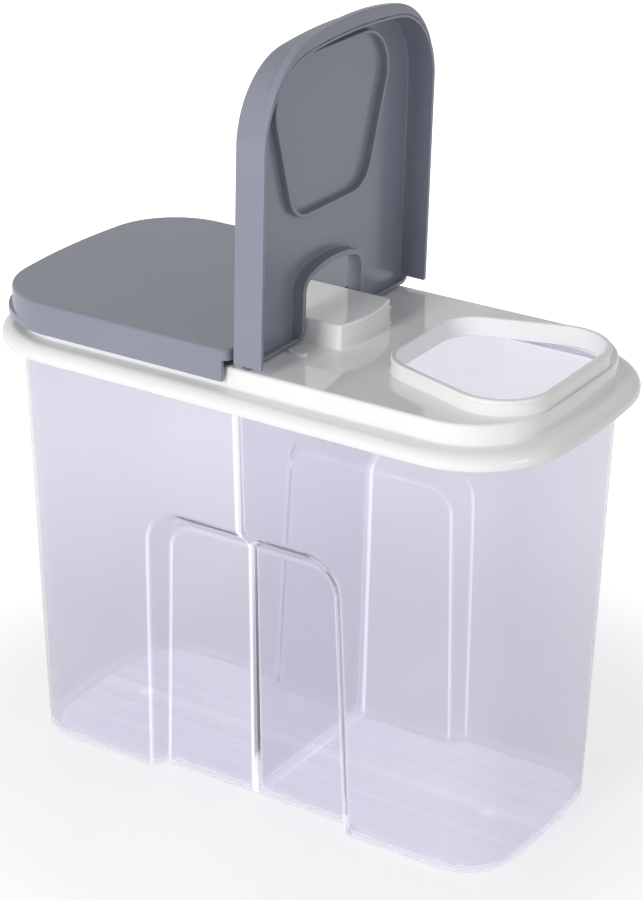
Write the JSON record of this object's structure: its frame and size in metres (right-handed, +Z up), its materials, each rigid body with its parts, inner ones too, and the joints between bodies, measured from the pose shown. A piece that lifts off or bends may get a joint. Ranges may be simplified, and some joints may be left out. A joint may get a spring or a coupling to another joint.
{
  "type": "dry food container",
  "caption": "Clear tub with a moulded-in partition, a press-down lid with two pour collars, and hinged flip flaps that seal them.",
  "frame": {"origin": "middle of the foot, on the surface the tub stands on", "axes": "+X along the length towards the right-hand flap, +Y to the back, +Z up"},
  "size_m": [0.245, 0.126, 0.3095],
  "materials": {
    "tub_clear": "translucent clear polypropylene, faintly milky",
    "lid_white": "glossy white polypropylene",
    "flap_grey": "satin blue-grey polypropylene"
  },
  "bodies": {
    "tub": {"tub": "tub_clear"},
    "lid": {"lid": "lid_white"},
    "left_flap": {"left_flap": "flap_grey"},
    "right_flap": {"right_flap": "flap_grey"}
  },
  "joints": [
    {"name": "lid_lift", "type": "slide", "parent": "tub", "child": "lid", "axis": [0, 0, 1], "range_m": [0, 0.08]},
    {"name": "left_flap_hinge", "type": "hinge", "parent": "lid", "child": "left_flap", "pos_m": [-0.0046, 0, 0.1922], "axis": [0, 1, 0], "range_deg": [0, 89]},
    {"name": "right_flap_hinge", "type": "hinge", "parent": "lid", "child": "right_flap", "pos_m": [0.0046, 0, 0.1922], "axis": [0, 1, 0], "range_deg": [0, 89]}
  ]
}
